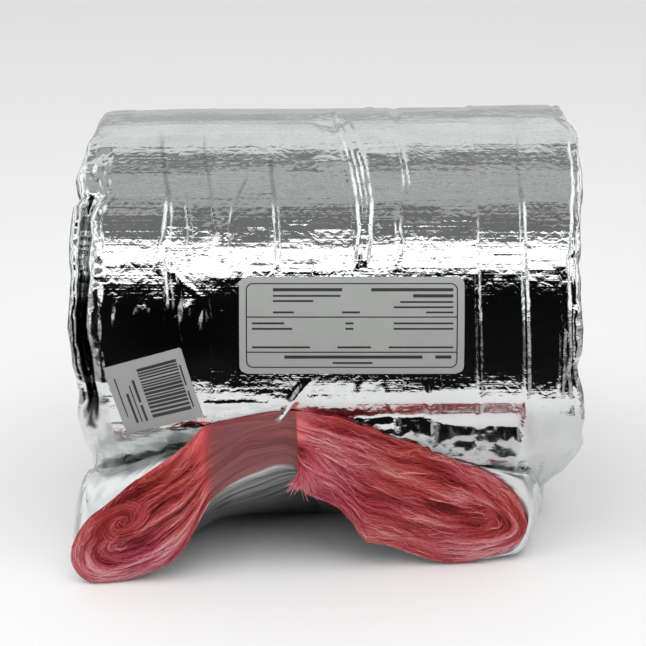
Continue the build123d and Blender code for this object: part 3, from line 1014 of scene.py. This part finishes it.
def makeTape():
    settings = tapeStrip
    ontoCut, underCut, bend = settings["ontoCut"], settings["underCut"], settings["bend"]
    mesh, u, v = newGrid("tape_clear_strip", settings["columns"], settings["rows"])
    s = woolEnd["tapeFrom"] + (woolEnd["tapeTo"] - woolEnd["tapeFrom"]) * u
    ring = freeEnd["perKnot"]
    lowFrom = (upperCount + rightCount) * ring
    edge = edgeHeight(outlineRing[:(upperCount - 1) * ring + 1], s)
    low = edgeHeight(outlineRing[lowFrom:lowFrom + (lowerCount - 1) * ring + 1], s) - 0.5
    # along the roll
    startZ = rollZ + rollRadius * math.sin(math.radians(settings["startAngle"]))
    zRoll = startZ + ((edge + 6) * mm - startZ) * np.clip(v / ontoCut, 0, 1)
    yRoll = rollY - np.sqrt(np.maximum((rollRadius + settings["gap"]) ** 2 - (zRoll - rollZ) ** 2, 0))
    onRoll = np.stack([s * mm, yRoll, zRoll], axis=1)
    # over the cut wool
    faceShare = np.clip((v - ontoCut) / (underCut - ontoCut), 0, 1)
    flat = edge + 0.5 + (low - 0.5 - edge) * faceShare
    depth = np.clip((edge - flat) / (edge - through(s, woolMiddle)), 0, 1)
    depth = np.minimum(2 * depth - overEdge(depth), 1)
    h = flat + woolEnd["crownRise"] * crownShare(s, flat, depth)
    bulge = settings["lift"] + settings["bulge"] * np.sin(math.pi * faceShare) - crownLean(s, flat, depth)
    onFace = outOfRoll(cutPoint(s * mm, h * mm, bulge), -1.6 * mm * (faceShare < 0.6))
    # under the arch
    underShare = np.clip((v - underCut) / (1 - underCut), 0, 1)
    underArch = cutPoint(s * mm, (low - 1.2) * mm, 1.6 * mm - underShare * settings["under"])
    underArch[:, 2] -= underShare * 6 * mm
    first, second = [smooth(at - bend, at + bend, v)[:, None] for at in (ontoCut, underCut)]
    points = onRoll * (1 - first) + onFace * first
    points = points * (1 - second) + underArch * second
    points[:, 1] -= settings["ripple"] * waveNoise(231, u * 6 + 3, v * 11 + 5)
    setPoints(mesh, *points.T)
    cover = settings["cover"] + settings["coverCut"] * smooth(0.32, 0.38, v)
    cover += settings["coverUnder"] * smooth(0.74, 0.8, v)
    setTone(mesh, "cover", cover * (0.35 + 0.65 * smooth(0, 0.12, u)))
    return finishPiece(mesh, tapeClear, "tape_strip")


makeTape()

# labels on the roll front

ratingLabel = {"long": 140 * mm, "high": 61 * mm, "corner": 5 * mm,
               "across": 15.9 * mm, "level": 12.0, "turn": 0.0}
codeLabel = {"long": 50.5 * mm, "high": 49 * mm, "corner": 1 * mm,
             "across": -108.3 * mm, "level": -6.4, "turn": 15.5}
labelSheet = {"columns": 70, "rows": 40, "proud": 0.7 * mm, "inkProud": 0.06 * mm, "wave": 0.5 * mm}


def labelPoint(label, a, b, proud):  # a and b run from the label's middle, in metres
    turn = math.radians(label["turn"])
    x = label["across"] + a * math.cos(turn) - b * math.sin(turn)
    arc = a * math.sin(turn) + b * math.cos(turn)
    angle = math.radians(label["level"]) + arc / rollRadius
    radius = rollRadius + proud + labelSheet["wave"] * waveNoise(251, x / 0.03 + 30, angle * 6 + 30)
    return x, rollY - radius * np.cos(angle), rollZ + radius * np.sin(angle)


def makeLabel(name, label, node):
    mesh, u, v = newGrid(name, labelSheet["columns"], labelSheet["rows"])
    halfLong, halfHigh, corner = label["long"] / 2, label["high"] / 2, label["corner"]
    b = (2 * v - 1) * halfHigh
    past = np.clip(np.abs(b) - (halfHigh - corner), 0, corner)
    reach = halfLong - corner + np.sqrt(np.maximum(corner ** 2 - past ** 2, 0))
    setPoints(mesh, *labelPoint(label, (2 * u - 1) * reach, b, labelSheet["proud"]))
    return finishPiece(mesh, labelPaper, node)


def layOnLabel(mesh, label):  # bends flat print over the roll, a hair above its label
    a, b, _ = meshPoints(mesh).T
    setPoints(mesh, *labelPoint(label, a, b, labelSheet["proud"] + labelSheet["inkProud"]))
    return finishPiece(mesh, printInk, None, closeSeams=False)


def makePrint(name, label, bars):  # bars are left, right, low, high in mm from the label's middle
    build = bmesh.new()
    for left, right, low, high in bars:
        columns = max(1, int((right - left) / 4))
        rows = max(1, int((high - low) / 3))
        made = bmesh.ops.create_grid(build, x_segments=columns, y_segments=rows, size=0.5)
        for vert in made["verts"]:
            a = (left + right) / 2 + vert.co.x * (right - left)
            b = (low + high) / 2 + vert.co.y * (high - low)
            vert.co = Vector((a * mm, b * mm, 0))
    return layOnLabel(meshFrom(build, name), label)


ratingPrint = {
    "halfLong": 65.5, "halfHigh": 26.2, "corner": 4.0, "line": 0.75, "rules": (-16.5, 5.5), "frameSteps": 96,
    "bars": [  # where the photo has print: left, right, middle, high
        (-49, -6, 22.4, 2.0), (-49, -7, 18.6, 1.2), (-49, -24, 15.4, 1.2), (-49, -36, 8.4, 1.2),
        (-6, 5, 8.4, 1.2), (12, 63, 22.4, 2.0), (38, 63, 18.6, 2.0), (30, 63, 14.8, 1.1),
        (26, 63, 11.6, 1.1), (46, 63, 8.4, 1.1), (-62, -42, 1.6, 1.2), (-62, -37, -1.8, 1.2),
        (-4, 1, 1.6, 1.2), (-4, 1, -1.8, 1.2), (26, 63, 1.6, 1.1), (26, 63, -1.8, 1.1),
        (-62, -26, -13.4, 1.2), (-9, 12, -13.4, 1.2), (23, 63, -13.4, 1.1), (-42, 44, -19.6, 2.0),
        (-12, 13, -23.4, 1.2), (52, 62, -19.6, 2.0)],
}
codePrint = {
    "left": -5.5, "right": 20.0, "from": -17.0, "to": 16.5,
    "wide": [1.1, 1.1, 1.9, 2.6], "gaps": [0.7, 0.8, 1.2],
    "lines": [(-21, -20.2, -12, 16), (-16.8, -15.2, -18, 4), (-13.4, -12.6, -18, 9), (-10.6, -9.0, -18, -6),
              (-10.6, -9.0, -4, 12), (21, 22, -16, -4), (21, 22, 0, 14)],  # left, right, low, high
}


def ratingBars(sheet):  # plain rules and bars
    wide = sheet["halfLong"]
    bars = [(-wide, wide, level, sheet["line"]) for level in sheet["rules"]] + sheet["bars"]
    return [(left, right, middle - high / 2, middle + high / 2) for left, right, middle, high in bars]


def codeBars(sheet):  # a seeded row of bars that encodes nothing
    rng = np.random.default_rng(271)
    bars = []
    place = sheet["from"]
    while place < sheet["to"]:
        wide = rng.choice(sheet["wide"])
        bars.append((sheet["left"], sheet["right"], place, place + wide))
        place += wide + rng.choice(sheet["gaps"])
    return bars + sheet["lines"]


def makeFrameLine(name, label, sheet):
    corner, steps = sheet["corner"], sheet["frameSteps"]
    turn = np.linspace(0, 2 * math.pi, steps, endpoint=False)
    build = bmesh.new()
    rings = []
    for grow in (sheet["line"] / 2, -sheet["line"] / 2):
        a = np.sign(np.cos(turn)) * (sheet["halfLong"] - corner) + (corner + grow) * np.cos(turn)
        b = np.sign(np.sin(turn)) * (sheet["halfHigh"] - corner) + (corner + grow) * np.sin(turn)
        rings.append([build.verts.new((p * mm, q * mm, 0)) for p, q in zip(a, b)])
    for step in range(steps):
        after = (step + 1) % steps
        build.faces.new((rings[0][step], rings[0][after], rings[1][after], rings[1][step]))
    longEdges = [edge for edge in build.edges if edge.calc_length() > 8 * mm]
    bmesh.ops.subdivide_edges(build, edges=longEdges, cuts=24, use_grid_fill=True)
    return layOnLabel(meshFrom(build, name), label)


makeLabel("rating_label_sheet", ratingLabel, "rating_label")
makePrint("rating_label_rules", ratingLabel, ratingBars(ratingPrint))
makeFrameLine("rating_label_frame", ratingLabel, ratingPrint)
makeLabel("code_label_sheet", codeLabel, "code_label")
makePrint("code_label_bars", codeLabel, codeBars(codePrint))
print("labels made")

# floor, light and camera

studio = {
    "floorColor": (0.88, 0.88, 0.88), "nearRadius": 0.37, "wideRadius": 9.0, "strength": 1.8,
    "keyWatts": 17, "keySize": (1.8, 1.3), "keyPlace": (-0.1, -0.62, 1.8),
    "lens": 113.07, "cameraRise": 18, "cameraFar": 1.4, "cameraAim": (-2 * mm, rollY, 123 * mm),
    "sideFrom": 0.34, "sideTo": 0.62,  # how far a direction leans to a side before that side's light shows
    # height of a direction towards either side, and the brightness there
    "sideBands": [(-1, 0.5), (-0.3, 0.5), (-0.26, 0.12), (-0.16, 0.1), (-0.11, 0.6), (0.04, 0.6),
                  (0.08, 0.15), (0.14, 0.15), (0.18, 1.3), (0.42, 1.3), (0.48, 0.45), (0.58, 0.4),
                  (0.64, 1.4), (1, 1.2)],
    # degrees round the roll's axis from the camera side, and the brightness there
    "bands": [(-180, 0.5), (-95, 0.4), (-50, 0.01), (33, 0.003), (36, 1.8), (51, 1.8), (53.5, 0.19),
              (70, 0.2), (73, 0.47), (102, 0.5), (104, 0.26), (115, 0.28), (118, 0.84), (148, 0.86),
              (156, 0.5), (180, 0.6)],
    "streakScale": 70, "streakLow": 0.7, "streakHigh": 1.25,
}


def aimAlong(thing, direction):
    thing.rotation_mode = "QUATERNION"
    thing.rotation_quaternion = direction.to_track_quat("-Z", "Y")


def makeFloor():
    material, _, shader = newMaterial("paleFloor")
    setInputs(shader, {"Base Color": (*studio["floorColor"], 1), "Roughness": 0.9})
    for name, radius, level in (("floor_near", studio["nearRadius"], 0),
                                ("floor_wide", studio["wideRadius"], -0.05 * mm)):
        build = bmesh.new()
        bmesh.ops.create_circle(build, cap_ends=True, segments=96, radius=radius)
        bmesh.ops.translate(build, verts=build.verts, vec=(0, rollY, level))
        floor = addObject(name, meshFrom(build, name))
        floor.data.materials.append(material)
        floor.visible_glossy = name == "floor_near"


def makeKeyLight():  # broad soft light over the camera side, not mirrored in the film
    data = bpy.data.lights.new("keyLight", "AREA")
    data.shape = "RECTANGLE"
    data.size, data.size_y = studio["keySize"]
    data.energy = studio["keyWatts"]
    light = addObject("keyLight", data)
    light.location = studio["keyPlace"]
    aimAlong(light, Vector((0, rollFront, 0.05)) - light.location)
    light.visible_glossy = False
    light.visible_camera = False


def makeWorld():
    world = bpy.data.worlds.new("studioLight")
    bpy.context.scene.world = world
    world.use_nodes = True
    tree = world.node_tree
    back = setInputs(tree.nodes["Background"], {"Strength": studio["strength"]})

    def lightRamp(bands, low, high):  # bands are places from low to high, and the brightness there
        return addRamp(tree, [((place - low) / (high - low), (value / studio["strength"],) * 3)
                              for place, value in bands])

    place = addNode(tree, "TexCoord")
    split = addNode(tree, "SeparateXYZ")
    front = setInputs(addNode(tree, "Math", operation="MULTIPLY"), {1: -1})
    turn = addNode(tree, "Math", operation="ARCTAN2")
    share = mapRange(tree, fromLow=-math.pi, fromHigh=math.pi)
    band = lightRamp(studio["bands"], -180, 180)
    streak = addNode(tree, "TexNoise", noise_dimensions="1D", Scale=studio["streakScale"], Detail=4)
    streakShare = mapRange(tree, studio["streakLow"], studio["streakHigh"], 0.3, 0.7)
    streaked = addNode(tree, "VectorMath", operation="SCALE")
    side = addNode(tree, "Math", operation="ABSOLUTE")
    sideShare = mapRange(tree, 0, 1, studio["sideFrom"], studio["sideTo"], interpolation_type="SMOOTHSTEP")
    sideRise = mapRange(tree, fromLow=-1)
    sideBand = lightRamp(studio["sideBands"], -1, 1)
    mix = addNode(tree, "Mix", data_type="RGBA")
    wire(tree, (place, "Generated", split, 0), (split, "Y", front, 0), (split, "Z", turn, 0),
         (front, "Value", turn, 1), (turn, "Value", share, "Value"), (share, "Result", band, "Fac"),
         (share, "Result", streak, "W"), (streak, "Fac", streakShare, "Value"), (band, "Color", streaked, 0),
         (streakShare, "Result", streaked, "Scale"), (split, "X", side, 0),
         (side, "Value", sideShare, "Value"), (sideShare, "Result", mix, "Factor"),
         (streaked, "Vector", mix, "A"), (split, "Z", sideRise, "Value"),
         (sideRise, "Result", sideBand, "Fac"), (sideBand, "Color", mix, "B"), (mix, "Result", back, "Color"))


def makeCamera():
    data = bpy.data.cameras.new("photoCamera")
    data.lens, data.sensor_width = studio["lens"], 36
    data.clip_start, data.clip_end = 0.01, 50
    camera = addObject("photoCamera", data)
    rise = math.radians(studio["cameraRise"])
    back = Vector((0, -math.cos(rise), math.sin(rise)))
    camera.location = Vector(studio["cameraAim"]) + back * studio["cameraFar"]
    aimAlong(camera, -back)
    bpy.context.scene.camera = camera


makeFloor()
makeKeyLight()
makeWorld()
makeCamera()
bpy.context.scene.view_settings.view_transform = "Standard"
bpy.context.scene.view_settings.look = "None"
print("stage made")
